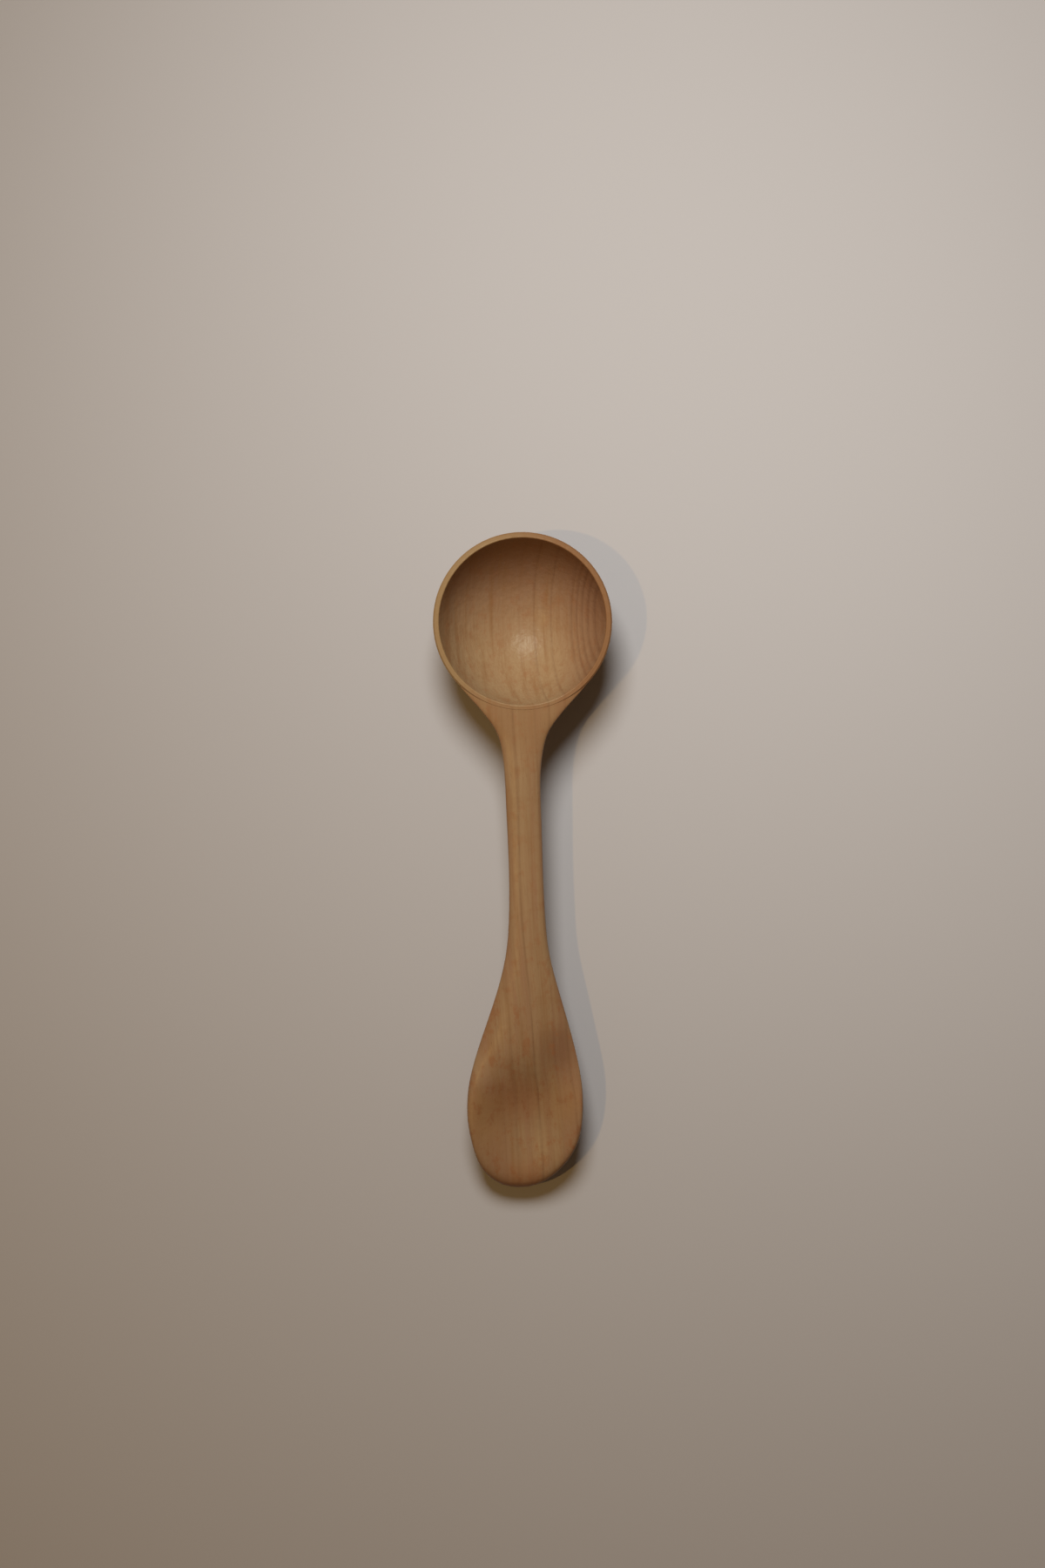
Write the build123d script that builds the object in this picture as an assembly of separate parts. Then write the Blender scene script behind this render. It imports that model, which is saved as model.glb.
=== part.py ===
from build123d import *
import math
import os

# A plain wooden scoop spoon, carved from one piece of wood. Sizes are in millimetres.
# It lies as it does on a table: +Y runs from the thumb rest to the bowl, +X to the right, +Z up.
# The origin is on the table, at the middle of the spoon's length and of the bowl's width.

# Whole spoon
overall_length = 165.3

# Bowl, round in plan
bowl_diameter = 44.6
bowl_height = 19.5
bowl_depth = 17.0
rim_width = 1.45
rim_chamfer = 0.4
lip_rounding = 0.35
foot_diameter = 13.0

# Stem in plan
flare_length = 14.7
neck_width = 9.1
paddle_width = 29.2
paddle_end_length = 21.8
stem_drift = 1.4

# Stem from the side, as heights above the table
root_sink = 0.06
root_edge_drop = 0.5
arch_top = 17.6
arch_crown = 1.6
arch_thickness = 7.2
rest_top = 8.3
tip_height = 5.0
nose_length = 8.0

# Pull of the rounded shoulders of a section above its edge, and the lean of the thumb rest
shoulder_pull = 6.3
shoulder_lean = 1.5

# Handles of the curves of a section: the shoulders' place across and rise, and the belly's fullness
shoulder_across_share = 0.7
shoulder_rise_share = 0.7
belly_share = 0.8

# The end of the paddle is a full ellipse in plan, and its nose is one from the side
end_fullness_share = 2.15
nose_fullness_share = 2.2
nose_angles = (12, 24, 36, 47, 57, 66, 74, 81, 86, 88.5)

# Places along the stem are measured from the middle of the bowl towards the thumb rest.
# Flare: place (middle of the bowl 0, its side 1, neck 2), width (neck 0, bowl 1),
# underside (table 0, neck 1), crown (mouth 0, arch 1), edge (mouth 0, arch 1) and pull of the shoulders
flare_shares = (
    (0.49, 0.790, 0.25, 0.00, 0.00, 0.13),
    (0.65, 0.680, 0.39, 0.00, 0.00, 0.13),
    (0.79, 0.545, 0.57, 0.00, 0.01, 0.13),
    (0.94, 0.375, 0.76, 0.00, 0.04, 0.15),
    (1.12, 0.232, 0.88, 0.02, 0.10, 0.18),
    (1.33, 0.116, 0.95, 0.06, 0.22, 0.22),
    (1.64, 0.036, 0.99, 0.12, 0.40, 0.25),
)

# Plan of the stem: place (neck 0, widest place of the paddle 1), width (neck 0, paddle 1) and drift
plan_shares = (
    (0.000, 0.000, 0.00),
    (0.120, -0.020, 0.22),
    (0.273, -0.030, 0.57),
    (0.416, -0.008, 0.80),
    (0.534, 0.075, 0.92),
    (0.653, 0.310, 1.00),
    (0.760, 0.585, 0.88),
    (0.852, 0.810, 0.68),
    (0.936, 0.960, 0.52),
    (1.000, 1.000, 0.46),
)

# Drift of the paddle's end: place (widest 0, tip 1) and drift
end_drift_shares = (
    (0.30, 0.46),
    (0.46, 0.41),
    (0.61, 0.15),
    (0.76, -0.18),
    (0.88, -0.38),
    (1.00, -0.50),
)

# Side view of the stem: place (neck 0, tip 1), crown (rest 0, arch 1), edge (tip 0, arch 1),
# underside (table 0, arch 1), pull of the shoulders and lean
side_shares = (
    (0.000, 1.16, 1.12, 1.06, 0.27, 0.0),
    (0.095, 1.085, 1.055, 1.03, 0.27, 0.0),
    (0.218, 1.015, 1.01, 1.01, 0.27, 0.0),
    (0.331, 1.00, 0.99, 0.99, 0.27, 0.0),
    (0.426, 0.98, 0.945, 0.95, 0.27, 0.0),
    (0.520, 0.945, 0.875, 0.88, 0.26, 0.1),
    (0.606, 0.88, 0.775, 0.76, 0.27, 0.4),
    (0.646, 0.83, 0.745, 0.68, 0.29, 0.7),
    (0.678, 0.75, 0.735, 0.60, 0.33, 1.0),
    (0.712, 0.60, 0.725, 0.50, 0.44, 1.2),
    (0.746, 0.42, 0.70, 0.385, 0.62, 1.3),
    (0.779, 0.24, 0.67, 0.27, 0.72, 1.1),
    (0.811, 0.095, 0.63, 0.155, 0.72, 0.7),
    (0.843, 0.02, 0.58, 0.065, 0.68, 0.3),
    (0.875, 0.00, 0.51, 0.02, 0.64, 0.0),
    (0.906, 0.00, 0.425, 0.00, 0.62, -0.1),
    (0.938, 0.01, 0.30, 0.01, 0.62, 0.0),
    (1.000, 0.03, 0.00, 0.08, 0.62, 0.0),
)

bowl_radius = bowl_diameter / 2
mouth_radius = bowl_radius - rim_width
foot_radius = foot_diameter / 2
bowl_middle = overall_length / 2 - bowl_radius
reach = overall_length - bowl_radius
neck_from_bowl = bowl_radius + flare_length
paddle_from_bowl = reach - paddle_end_length
neck_half = neck_width / 2
paddle_half = paddle_width / 2
root_top = bowl_height - root_sink
root_edge = root_top - root_edge_drop
arch_edge = arch_top - arch_crown
arch_underside = arch_top - arch_thickness


def part_way(low, high, share):
    """A value at a share of the way from low to high."""
    return low + share * (high - low)


def smooth_row(rows, place):
    """The row of values at one place, on smooth curves through the rows given."""
    last = len(rows) - 1
    k = max([i for i in range(last) if rows[i][0] <= place], default=0)
    before, start, end, after = rows[max(k - 1, 0)], rows[k], rows[k + 1], rows[min(k + 2, last)]
    span = end[0] - start[0]
    t = (place - start[0]) / span
    values = []
    for v0, v1, v2, v3 in list(zip(before, start, end, after))[1:]:
        rise_in = (v2 - v0) / (end[0] - before[0]) * span
        rise_out = (v3 - v1) / (after[0] - start[0]) * span
        values.append(
            (2 * t**3 - 3 * t**2 + 1) * v1 + (t**3 - 2 * t**2 + t) * rise_in
            + (3 * t**2 - 2 * t**3) * v2 + (t**3 - t**2) * rise_out
        )
    return values


def full_ellipse(share, fullness):
    """Height of an ellipse, made fuller or leaner, at a share of its half-length."""
    return max(1 - max(share, 0) ** fullness, 0) ** (1 / fullness)


def flare_place(share):
    """Distance from the middle of the bowl: up to 1 within the bowl, and from 1 to 2 beyond it."""
    return min(share, 1) * bowl_radius + max(share - 1, 0) * flare_length


def plan_rows():
    """Place, half-width and drift along the stem. Past its widest place the paddle is rounded by a formula."""
    flare = [
        (flare_place(place), part_way(neck_half, bowl_radius, width), 0)
        for place, width, *heights in flare_shares
    ]
    stem = [
        (
            part_way(neck_from_bowl, paddle_from_bowl, place),
            part_way(neck_half, paddle_half, width),
            drift * stem_drift,
        )
        for place, width, drift in plan_shares
    ]
    end = [
        (part_way(paddle_from_bowl, reach, place), paddle_half, drift * stem_drift)
        for place, drift in end_drift_shares
    ]
    return flare + stem + end


def side_rows():
    """Place, crown, edge, underside, pull of the shoulders and lean, from the bowl to the tip."""
    neck_underside = side_shares[0][3] * arch_underside
    flare = [
        (
            flare_place(place),
            part_way(root_top, arch_top, crown),
            part_way(root_edge, arch_edge, edge),
            underside * neck_underside,
            pull * shoulder_pull,
            0,
        )
        for place, width, underside, crown, edge, pull in flare_shares
    ]
    stem = [
        (
            part_way(neck_from_bowl, reach, place),
            part_way(rest_top, arch_top, crown),
            part_way(tip_height, arch_edge, edge),
            underside * arch_underside,
            pull * shoulder_pull,
            lean * shoulder_lean,
        )
        for place, crown, edge, underside, pull, lean in side_shares
    ]
    return flare + stem


def stem_places():
    """Places of the stem's sections, closer together where the outline turns faster."""
    flare = [flare_place(row[0]) for row in flare_shares]
    stem = [part_way(neck_from_bowl, reach, row[0]) for row in side_shares]
    stem = [place for place in stem if place < paddle_from_bowl]
    end_length = reach - paddle_from_bowl
    end = [
        paddle_from_bowl + end_length * math.sin(math.radians(angle)) ** (2 / end_fullness_share)
        for angle in nose_angles
    ]
    return flare + stem + end


def stem_section(place):
    """One closed section of the stem: a crowned or dished top and a round belly.

    The middle handle of each curve is worked out so that the curve passes through the crown
    or the underside half way across.
    """
    end_share = (place - paddle_from_bowl) / (reach - paddle_from_bowl)
    nose = full_ellipse((place - reach + nose_length) / nose_length, nose_fullness_share)
    half_width, drift = smooth_row(plan_rows(), place)
    half_width = half_width * full_ellipse(end_share, end_fullness_share)
    crown, edge, underside, pull, lean = smooth_row(side_rows(), place)
    rise = (crown - edge) * nose
    left = (pull + lean) * nose
    right = (pull - lean) * nose
    belly = (edge - underside) * nose
    middle = (64 * rise - (6 * shoulder_rise_share + 15) * (left + right)) / 20
    lowest = (16 - 8 * belly_share) / 6 * belly
    y = bowl_middle - place

    def at(across, up):
        return Vector(drift + across * half_width, y, edge + up)

    top = Edge.make_bezier(
        at(-1, 0),
        at(-1, shoulder_rise_share * left),
        at(-shoulder_across_share, left),
        at(0, middle),
        at(shoulder_across_share, right),
        at(1, shoulder_rise_share * right),
        at(1, 0),
    )
    under = Edge.make_bezier(
        at(1, 0),
        at(1, -belly_share * belly),
        at(0, -lowest),
        at(-1, -belly_share * belly),
        at(-1, 0),
    )
    return Wire([top, under])


def stem():
    """Neck, stem and thumb rest, as one smooth skin over the sections, from inside the bowl to the tip."""
    return Solid.make_loft([stem_section(place) for place in stem_places()])


def on_circle(middle, radius, angle):
    """Point of a circle at an angle from straight down, in radians, in the bowl's upright profile."""
    return (middle[0] + radius * math.sin(angle), middle[1] - radius * math.cos(angle))


def bowl_blank():
    """The bowl before it is hollowed: a ball, flat at the foot and at the rim, with its outer edge eased."""
    ball_height = (bowl_radius**2 + bowl_height**2 - foot_radius**2) / (2 * bowl_height)
    ball_radius = math.hypot(foot_radius, ball_height)
    foot_angle = math.atan2(foot_radius, ball_height)
    rim_angle = math.atan2(bowl_radius, ball_height - bowl_height)
    with BuildSketch(Plane.XZ) as profile:
        with BuildLine():
            Line((0, 0), (foot_radius, 0))
            ThreePointArc(
                (foot_radius, 0),
                on_circle((0, ball_height), ball_radius, (foot_angle + rim_angle) / 2),
                (bowl_radius, bowl_height),
            )
            Polyline((bowl_radius, bowl_height), (0, bowl_height), (0, 0))
        make_face()
        chamfer(profile.vertices().sort_by(Axis.X)[-1], length=rim_chamfer)
    return Pos(0, bowl_middle, 0) * revolve(profile.sketch, Axis.Z)


def hollow():
    """The scooped hollow: a cap of a ball, which turns outwards at the mouth by a small round lip."""
    ball_radius = (mouth_radius**2 + bowl_depth**2) / (2 * bowl_depth)
    ball_height = bowl_height - bowl_depth + ball_radius
    lip_height = bowl_height - lip_rounding
    mouth_angle = math.acos((ball_height - lip_height) / (ball_radius + lip_rounding))
    lip = on_circle((0, ball_height), ball_radius + lip_rounding, mouth_angle)
    touch = on_circle((0, ball_height), ball_radius, mouth_angle)
    floor = (0, bowl_height - bowl_depth)
    over = bowl_height + lip_rounding
    with BuildSketch(Plane.XZ) as profile:
        with BuildLine():
            ThreePointArc(floor, on_circle((0, ball_height), ball_radius, mouth_angle / 2), touch)
            ThreePointArc(
                touch,
                on_circle(lip, lip_rounding, (mouth_angle - math.pi - math.pi) / 2),
                (lip[0], bowl_height),
            )
            Polyline((lip[0], bowl_height), (lip[0], over), (0, over), floor)
        make_face()
    return Pos(0, bowl_middle, 0) * revolve(profile.sketch, Axis.Z)


def spoon():
    """The whole spoon: bowl and stem joined, and the hollow cut."""
    return bowl_blank() + stem() - hollow()


os.makedirs("parts", exist_ok=True)
export_step(spoon(), "parts/spoon.step")
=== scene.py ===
import math

import bmesh
import bpy
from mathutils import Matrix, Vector

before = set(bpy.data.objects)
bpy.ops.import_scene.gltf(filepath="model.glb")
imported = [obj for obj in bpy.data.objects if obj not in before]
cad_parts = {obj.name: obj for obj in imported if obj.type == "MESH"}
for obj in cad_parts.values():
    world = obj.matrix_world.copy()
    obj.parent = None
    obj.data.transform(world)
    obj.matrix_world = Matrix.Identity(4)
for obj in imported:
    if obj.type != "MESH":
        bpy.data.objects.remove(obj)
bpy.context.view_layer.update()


# The spoon. One piece of close-grained fruit wood, turned at the bowl, carved at the stem and thumb rest,
# sanded smooth and rubbed with oil. Its growth layers stand nearly upright and run along the spoon.

millimetre = 0.001

wood_tan = (0.286, 0.166, 0.075)
wood_rose = (0.262, 0.134, 0.064)
wood_amber = (0.238, 0.114, 0.043)
hollow_straw = (0.320, 0.196, 0.090)
# the next colour darkens the hollow towards its far wall: a rose tone, partly painted shade where that wall
# turns from the window
hollow_rose_and_shade = (0.240, 0.120, 0.064)
# the next colour is for the mottles, and also painted shade where the tip of the thumb rest rolls down
mottle_red_and_tip_shade = (0.250, 0.092, 0.032)
blush = (0.345, 0.140, 0.056)
honey = (0.365, 0.184, 0.064)
# the next colour is laid on the thumb rest's slope, partly as painted shade
heart_brown_and_shade = (0.142, 0.056, 0.026)
# the next colour reddens the hollow's right wall: partly real red wood, partly painted shade
heart_red_and_shade = (0.205, 0.080, 0.040)
layer_brown = (0.112, 0.042, 0.018)
# the next colour is for the pale growth lines, and also painted light on the thumb rest
pale_layer_and_light = (0.330, 0.200, 0.094)
fleck_brown = (0.110, 0.044, 0.017)
end_grain_brown = (0.180, 0.080, 0.032)
rim_tan = (0.268, 0.155, 0.062)
rim_red = (0.208, 0.090, 0.032)

# The spoon's two ends along it, and the bowl's middle, in millimetres from the middle of the spoon.
spoon_ends = (-83.0, 83.0)
bowl_middle = (0.0, 60.35)

# Places where the wood changes, in millimetres: out from the bowl's middle, up from the table, along the
# spoon or across it. Each pair is where a change begins and where it is full.
hollow_edge = (21.4, 20.6)
rim_inner_edge = (20.5, 20.9)
rim_outer_edge = (22.9, 22.3)
rim_height = (19.0, 19.2)
rim_along = (40.5, 46.0)
rim_across = (-14.0, 12.0)
right_wall_across = (6.0, 20.0)
# the hollow's change towards its far wall, partly painted shade
hollow_shade_along = (50.0, 80.0)
neck_along = (22.0, 34.0)
stem_along = (41.0, 37.0)
mottle_along = (0.0, -50.0)
# the low end of the thumb rest, where light is painted
painted_light_rest_along = (-56.0, -66.0)

# How far a face must turn up, or towards an end of the spoon, to take a colour: 1 is all the way.
hollow_facing = (0.0, 0.12)
end_grain_facing = (0.35, 1.0)

# How strongly each colour covers the wood. A pair is its share where the change begins and where it is full.
neck_share = 0.55
hollow_share = 0.85
right_wall_share = 0.50
rim_shares = (0.1, 0.85)
# the painted light on the low end of the thumb rest
painted_light_rest_shares = (0.0, 0.12)
mottle_along_shares = (0.55, 1.0)
line_share = 0.52
pale_line_share = 0.22
end_grain_shares = (0.0, 0.55)

# The thumb rest's round patches: painted light and shade, mixed with some of the wood's own figure, on the
# slope and dish of the thumb rest and where its tip rolls down. Each has its middle, reach, share and colour.
# A patch is at its full share within a core, which is a part of its reach.
rest_patch_core = 0.15
rest_light_shade_and_figure = (
    ((9.0, -46.0), 8.5, 0.44, heart_brown_and_shade),
    ((-1.0, -59.5), 9.0, 0.42, blush),
    ((-10.0, -51.0), 6.5, 0.42, pale_layer_and_light),
    ((-10.0, -63.0), 9.5, 0.46, honey),
    ((-8.0, -70.0), 7.0, 0.20, honey),
    ((10.0, -60.0), 9.0, 0.30, honey),
    ((0.5, -80.0), 7.5, 0.55, mottle_red_and_tip_shade),
)

# Growth layers: how they slope, tilt and drift along the spoon, with the share of the drift at each share of
# the length, and then the dark lines, each with its place across the wood, width and strength.
layer_slope = 0.03
layer_tilt = 0.166
layer_drift = 6.5
layer_drift_path = (
    (0.0, 0.95), (0.03, 0.94), (0.135, 0.815), (0.205, 0.577), (0.289, 0.446), (0.352, 0.323),
    (0.435, 0.192), (0.517, 0.154), (0.62, 0.123), (0.729, 0.02), (1.0, 0.0),
)
layer_sway = 1.2
layer_field = (-24.0, 24.0)
line_soft_side = 2.4
line_sharp_side = 1.1
pale_line_shift = -0.9
bowl_layers = (
    (0.8, 0.35, 0.16), (4.35, 0.30, 0.58), (8.6, 0.30, 0.56), (13.05, 0.28, 0.60),
    (14.3, 0.26, 0.80), (15.5, 0.24, 0.95), (16.8, 0.26, 0.85), (18.1, 0.24, 0.85),
)
stem_layers = (
    (-13.5, 0.30, 0.20), (-10.3, 0.40, 0.36), (-7.4, 0.28, 0.20), (-4.6, 0.28, 0.75), (-2.0, 0.22, 0.15),
    (0.8, 0.25, 0.30), (4.35, 0.30, 0.44), (8.6, 0.30, 0.34), (13.05, 0.30, 0.30),
)

# How long the grain's patterns are drawn across, along and up the wood: the smaller, the longer.
layer_draw = (1.0, 0.05, 0.15)
fibre_draw = (1.0, 0.03, 1.0)
curl_draw = (0.22, 0.55, 0.3)
mottle_draw = (0.42, 0.26, 0.3)

# The grain's patterns: fineness, detail and roughness. With each come the values at which it begins to show
# and is full, and how strongly its colour covers the wood there.
pattern_middle = 0.5
sway_pattern = (0.35, 2.0, 0.5)
wear_pattern = (1.3, 3.0, 0.5)
wear_begins = (0.25, 0.65)
wear_shares = (0.35, 1.0)
broad_pattern = (0.28, 3.0, 0.6)
broad_begins = (0.40, 0.66)
warm_pattern = (0.55, 3.0, 0.6)
warm_seed = 3.7
warm_begins = (0.46, 0.74)
warm_shares = (0.0, 0.8)
streak_pattern = (1.7, 5.0, 0.65)
streak_begins = (0.35, 0.75)
streak_shares = (0.0, 0.42)
curl_pattern = (0.5, 4.0, 0.6)
curl_begins = (0.50, 0.72)
curl_shares = (0.0, 0.30)
mottle_pattern = (1.0, 4.0, 0.65)
mottle_begins = (0.50, 0.68)
mottle_shares = (0.0, 0.55)
pore_pattern = (7.0, 2.0, 0.6)
pore_begins = (0.60, 0.80)
pore_shares = (0.0, 0.45)

# The oil's low gloss, and the relief of the grain and of the scraper's marks in millimetres.
oil_gloss = 0.125
oil_tint = (1.0, 0.90, 0.66)
satin_begins = (0.3, 0.7)
satin_roughness = (0.29, 0.40)
grain_strength = 0.10
grain_depth = 0.05
scrape_pattern = (0.60, 2.0, 0.5)
scrape_shares = (0.3, 1.0)
scrape_strength = 1.0
scrape_depth = 0.14


def place_node(tree, kind, settings=None, **sockets):
    """Adds a shader node, sets it, and fills its sockets with values or with other nodes' outputs."""
    made = tree.nodes.new("ShaderNode" + kind)
    for name, value in (settings or {}).items():
        setattr(made, name, value)
    for name, value in sockets.items():
        socket = made.inputs[int(name[1:])] if name[1:].isdigit() else made.inputs[name.replace("_", " ")]
        if isinstance(value, bpy.types.NodeSocket):
            tree.links.new(value, socket)
        else:
            socket.default_value = value
    return made


def sum_up(tree, operation, first, second=0.0, third=0.0):
    """One step of arithmetic between outputs and plain values."""
    return place_node(tree, "Math", {"operation": operation}, i0=first, i1=second, i2=third).outputs[0]


def product(tree, first, *others):
    """Outputs and plain values multiplied together."""
    for other in others:
        first = sum_up(tree, "MULTIPLY", first, other)
    return first


def distance(tree, x, y, middle):
    """How far a point lies from a middle, seen from above."""
    off_x = sum_up(tree, "SUBTRACT", x, middle[0])
    off_y = sum_up(tree, "SUBTRACT", y, middle[1])
    squared = sum_up(tree, "MULTIPLY_ADD", off_x, off_x, product(tree, off_y, off_y))
    return sum_up(tree, "SQRT", squared)


def fade(tree, value, span, shares=(0.0, 1.0)):
    """A smooth change from the first share to the second while the value crosses the span."""
    made = place_node(tree, "MapRange", {"interpolation_type": "SMOOTHSTEP"}, Value=value,
                      i1=span[0], i2=span[1], i3=shares[0], i4=shares[1])
    return made.outputs[0]


def drawn_out(tree, lengths, shares):
    """A place in the wood, with each of its three lengths drawn out by its share."""
    x, y, z = (product(tree, length, share) for length, share in zip(lengths, shares))
    return place_node(tree, "CombineXYZ", X=x, Y=y, Z=z).outputs[0]


def noise(tree, place, pattern, seed=None):
    """A soft noise with a pattern's fineness, detail and roughness. A seed gives another of the same kind."""
    fineness, detail, roughness = pattern
    made = place_node(tree, "TexNoise", Vector=place, Scale=fineness, Detail=detail, Roughness=roughness)
    if seed is not None:
        made.noise_dimensions = "4D"
        made.inputs["W"].default_value = seed
    return made.outputs[0]


def tint(tree, share, low, high):
    """A colour between two colours or colour outputs, at a share."""
    # a Mix node keeps its sockets for colours after those for numbers and directions
    mix = place_node(tree, "Mix", {"data_type": "RGBA"}, Factor=share)
    for socket, colour in ((mix.inputs[6], low), (mix.inputs[7], high)):
        if isinstance(colour, bpy.types.NodeSocket):
            tree.links.new(colour, socket)
        else:
            socket.default_value = (*colour, 1)
    return mix.outputs[2]


def layer_lines(tree, layer, layers):
    """Lines at their places across the growth layers, soft on one side and sharper on the other."""
    low, high = layer_field
    place = place_node(tree, "MapRange", Value=layer, i1=low, i2=high).outputs[0]
    ramp = place_node(tree, "ValToRGB", Fac=place)
    for end in ramp.color_ramp.elements:
        end.color = (0, 0, 0, 1)
    for middle, width, strength in layers:
        for offset, share in ((-line_soft_side * width, 0), (0, strength), (line_sharp_side * width, 0)):
            stop = ramp.color_ramp.elements.new((middle + offset - low) / (high - low))
            stop.color = (share, share, share, 1)
    return ramp.outputs[0]


def oiled_wood():
    """Oiled fruit wood, on the spoon's own coordinates in millimetres."""
    wood = bpy.data.materials.new("oiled_fruit_wood")
    wood.use_nodes = True
    tree = wood.node_tree
    shader = tree.nodes["Principled BSDF"]
    where = place_node(tree, "TexCoord").outputs
    scaled = place_node(tree, "VectorMath", {"operation": "SCALE"}, Vector=where["Object"],
                        Scale=1 / millimetre)
    place = scaled.outputs[0]
    x, y, z = place_node(tree, "SeparateXYZ", Vector=place).outputs
    facing = place_node(tree, "SeparateXYZ", Vector=where["Normal"]).outputs

    # the parts of the spoon that differ: hollow, right wall, rim, neck, stem and faces that turn to an end
    radius = distance(tree, x, y, bowl_middle)
    in_bowl = fade(tree, radius, hollow_edge)
    in_hollow = product(tree, in_bowl, fade(tree, facing["Z"], hollow_facing))
    right_wall = product(tree, in_hollow, fade(tree, x, right_wall_across))
    on_rim = product(tree, fade(tree, radius, rim_outer_edge), fade(tree, radius, rim_inner_edge),
                     fade(tree, z, rim_height), fade(tree, y, rim_along, rim_shares))
    on_neck = product(tree, fade(tree, y, neck_along), fade(tree, in_bowl, (1.0, 0.0)))
    on_stem = fade(tree, y, stem_along)
    to_an_end = product(tree, sum_up(tree, "ABSOLUTE", facing["Y"]), sum_up(tree, "SUBTRACT", 1.0, in_hollow))

    # growth layers: their place across the wood drifts along the spoon
    along = place_node(tree, "MapRange", Value=y, i1=spoon_ends[0], i2=spoon_ends[1]).outputs[0]
    path = place_node(tree, "FloatCurve", Value=along)
    curve = path.mapping.curves[0]
    for share, drift in layer_drift_path[1:-1]:
        curve.points.new(share, drift)
    curve.points[0].location = layer_drift_path[0]
    curve.points[-1].location = layer_drift_path[-1]
    path.mapping.update()
    across = sum_up(tree, "MULTIPLY_ADD", y, layer_slope, x)
    across = sum_up(tree, "MULTIPLY_ADD", z, -layer_tilt, across)
    across = sum_up(tree, "MULTIPLY_ADD", path.outputs[0], -layer_drift, across)
    layered = drawn_out(tree, (across, y, z), layer_draw)
    sway = sum_up(tree, "SUBTRACT", noise(tree, layered, sway_pattern), pattern_middle)
    layer = sum_up(tree, "MULTIPLY_ADD", sway, layer_sway, across)
    lines = place_node(tree, "Mix", {"data_type": "FLOAT"}, Factor=on_stem,
                       A=layer_lines(tree, layer, bowl_layers), B=layer_lines(tree, layer, stem_layers))
    wear = noise(tree, layered, wear_pattern)
    lines = product(tree, lines.outputs[0], fade(tree, wear, wear_begins, wear_shares))
    pale_side = sum_up(tree, "ADD", layer, pale_line_shift)
    pale_lines = product(tree, on_stem, layer_lines(tree, pale_side, stem_layers))

    # streaks and fine fibres, long along the wood, cross ripples where the fibres wave, and mottles
    broad = noise(tree, layered, broad_pattern)
    warm = noise(tree, layered, warm_pattern, warm_seed)
    fibre = drawn_out(tree, (across, y, z), fibre_draw)
    streak = noise(tree, fibre, streak_pattern)
    pore = noise(tree, fibre, pore_pattern)
    curl = noise(tree, drawn_out(tree, (x, y, z), curl_draw), curl_pattern)
    mottle = noise(tree, drawn_out(tree, (x, y, z), mottle_draw), mottle_pattern)
    mottled = product(tree, fade(tree, y, mottle_along, mottle_along_shares),
                      fade(tree, mottle, mottle_begins, mottle_shares))

    # the colours, laid one over the other
    colour = tint(tree, fade(tree, broad, broad_begins), wood_tan, wood_rose)
    colour = tint(tree, product(tree, on_neck, neck_share), colour, wood_amber)
    # the hollow, darker rose towards its far wall: partly painted shade where that wall turns from the window
    hollow = tint(tree, fade(tree, y, hollow_shade_along), hollow_straw, hollow_rose_and_shade)
    colour = tint(tree, product(tree, in_hollow, hollow_share), colour, hollow)
    colour = tint(tree, fade(tree, warm, warm_begins, warm_shares), colour, wood_amber)
    colour = tint(tree, fade(tree, streak, streak_begins, streak_shares), colour, wood_amber)
    colour = tint(tree, fade(tree, curl, curl_begins, curl_shares), colour, wood_amber)
    # the hollow's right wall, reddened: partly real red wood, partly painted shade
    colour = tint(tree, product(tree, right_wall, right_wall_share), colour, heart_red_and_shade)
    # painted light and shade on the thumb rest, with some of its own figure
    for middle, reach, share, shade in rest_light_shade_and_figure:
        patch = fade(tree, distance(tree, x, y, middle), (reach, rest_patch_core * reach), (0.0, share))
        colour = tint(tree, patch, colour, shade)
    # painted light: the low end of the thumb rest made a little paler
    colour = tint(tree, fade(tree, y, painted_light_rest_along, painted_light_rest_shares), colour, pale_layer_and_light)
    colour = tint(tree, mottled, colour, mottle_red_and_tip_shade)
    colour = tint(tree, product(tree, pale_lines, pale_line_share), colour, pale_layer_and_light)
    colour = tint(tree, product(tree, lines, line_share), colour, layer_brown)
    colour = tint(tree, fade(tree, pore, pore_begins, pore_shares), colour, fleck_brown)
    colour = tint(tree, on_rim, colour, tint(tree, fade(tree, x, rim_across), rim_tan, rim_red))
    colour = tint(tree, fade(tree, to_an_end, end_grain_facing, end_grain_shares), colour, end_grain_brown)
    tree.links.new(colour, shader.inputs["Base Color"])

    # oil rubbed in: a low satin gloss, broken by the grain and by the marks of the scraper in the hollow
    tree.links.new(fade(tree, streak, satin_begins, satin_roughness), shader.inputs["Roughness"])
    shader.inputs["Specular IOR Level"].default_value = oil_gloss
    shader.inputs["Specular Tint"].default_value = (*oil_tint, 1)
    grain = place_node(tree, "Bump", Height=sum_up(tree, "ADD", streak, pore), Strength=grain_strength,
                       Distance=grain_depth * millimetre)
    scrape = noise(tree, place, scrape_pattern)
    scrape = product(tree, scrape, fade(tree, in_hollow, (0.0, 1.0), scrape_shares))
    bump = place_node(tree, "Bump", Height=scrape, Strength=scrape_strength,
                      Distance=scrape_depth * millimetre, Normal=grain.outputs[0])
    tree.links.new(bump.outputs[0], shader.inputs["Normal"])
    return wood


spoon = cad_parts["spoon"]
spoon.data.materials.clear()
spoon.data.materials.append(oiled_wood())


# The table top. A plain pale sheet, a little warm and quite dull, wide enough to fill the picture.
# It lies at the height of the spoon's foot.

table_half = 1.5
table_colour = (0.434, 0.386, 0.342)
table_roughness = 0.9
table_gloss = 0.1

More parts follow.
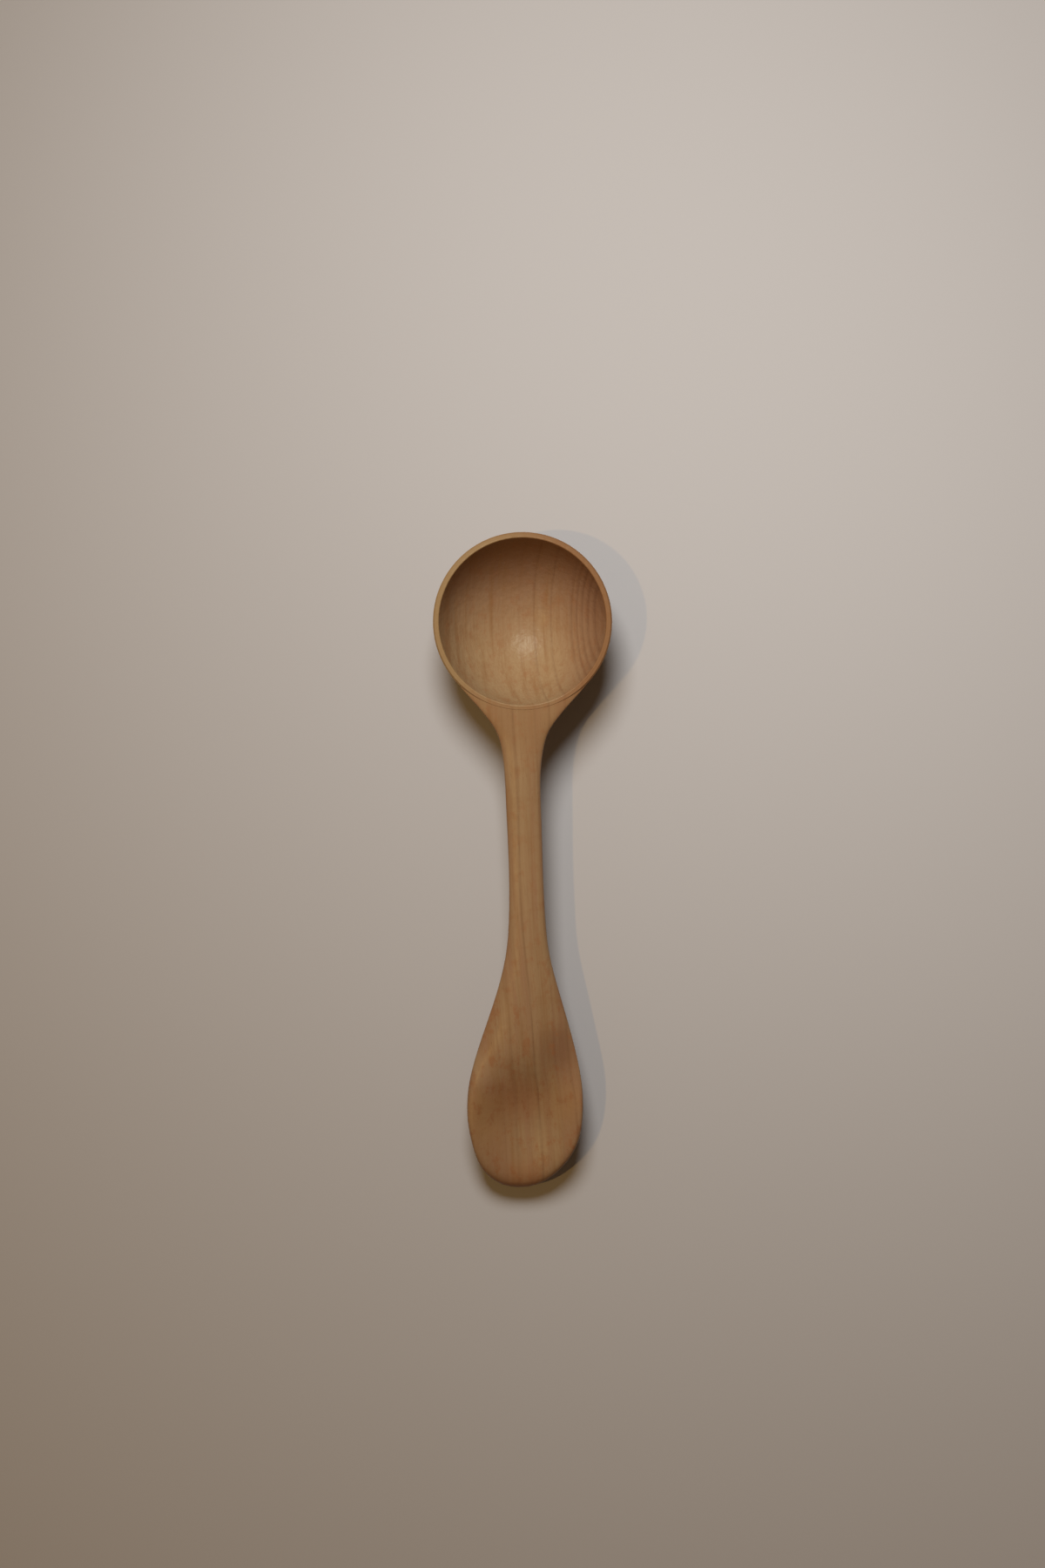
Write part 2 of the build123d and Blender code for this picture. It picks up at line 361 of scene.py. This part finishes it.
table_mesh = bmesh.new()
bmesh.ops.create_grid(table_mesh, x_segments=1, y_segments=1, size=table_half)
table_data = bpy.data.meshes.new("table_top")
table_mesh.to_mesh(table_data)
table_mesh.free()
table = bpy.data.objects.new("table_top", table_data)
bpy.context.scene.collection.objects.link(table)
sheet = bpy.data.materials.new("pale_sheet")
sheet.use_nodes = True
sheet_shader = sheet.node_tree.nodes["Principled BSDF"]
sheet_shader.inputs["Base Color"].default_value = (*table_colour, 1)
sheet_shader.inputs["Roughness"].default_value = table_roughness
sheet_shader.inputs["Specular IOR Level"].default_value = table_gloss
table_data.materials.append(sheet)


# The light. A round soft window beyond the bowl, turned towards the table at the right of the spoon; a small
# warm lamp high on the left, which draws the crisp shadow; and weak warm light from all round.
# A bearing is in degrees from the bowl's end, positive to the right, and a rise in degrees from the table.

window_bearing = -6.0
window_rise = 55.5
window_distance = 0.50
window_aim = (0.125, 0.045, 0.0)
window_size = 0.20
window_power = 1.06
window_spread = 113.0
window_colour = (0.92, 1.0, 1.10)
lamp_bearing = -96.0
lamp_rise = 64.6
lamp_distance = 0.98
lamp_aim = (0.0, 0.0, 0.0)
lamp_radius = 0.010
lamp_power = 6.2
lamp_colour = (1.0, 0.66, 0.24)
room_colour = (1.0, 0.70, 0.44)
room_strength = 0.11


def set_light(name, kind, bearing, rise, distance, aim, power, colour):
    """A light seen from the spoon's middle at its bearing and rise, turned towards its aim."""
    light = bpy.data.lights.new(name, kind)
    light.energy = power
    light.color = colour
    holder = bpy.data.objects.new(name, light)
    flat = math.cos(math.radians(rise))
    away = Vector((flat * math.sin(math.radians(bearing)), flat * math.cos(math.radians(bearing)),
                   math.sin(math.radians(rise))))
    holder.location = away * distance
    holder.rotation_euler = (holder.location - Vector(aim)).to_track_quat("Z", "Y").to_euler()
    bpy.context.scene.collection.objects.link(holder)
    return light


window = set_light("window", "AREA", window_bearing, window_rise, window_distance, window_aim, window_power,
                   window_colour)
window.shape = "DISK"
window.size = window_size
window.spread = math.radians(window_spread)
lamp = set_light("warm_lamp", "POINT", lamp_bearing, lamp_rise, lamp_distance, lamp_aim, lamp_power,
                 lamp_colour)
lamp.shadow_soft_size = lamp_radius
room = bpy.data.worlds.new("room")
room.use_nodes = True
room_light = room.node_tree.nodes["Background"]
room_light.inputs["Color"].default_value = (*room_colour, 1)
room_light.inputs["Strength"].default_value = room_strength
bpy.context.scene.world = room


# The camera. It looks straight down from above the stem, with the bowl at the top of the picture.
# Its height and place along the spoon are in metres, and its lens and film in millimetres.

camera_height = 0.560
camera_along = 0.02002
lens_length = 50.0
film_length = 36.0

eye = bpy.data.cameras.new("camera")
eye.lens = lens_length
eye.sensor_width = film_length
eye.sensor_fit = "AUTO"
camera = bpy.data.objects.new("camera", eye)
camera.location = (0, camera_along, camera_height)
bpy.context.scene.collection.objects.link(camera)
bpy.context.scene.camera = camera
bpy.context.scene.view_settings.view_transform = "Standard"
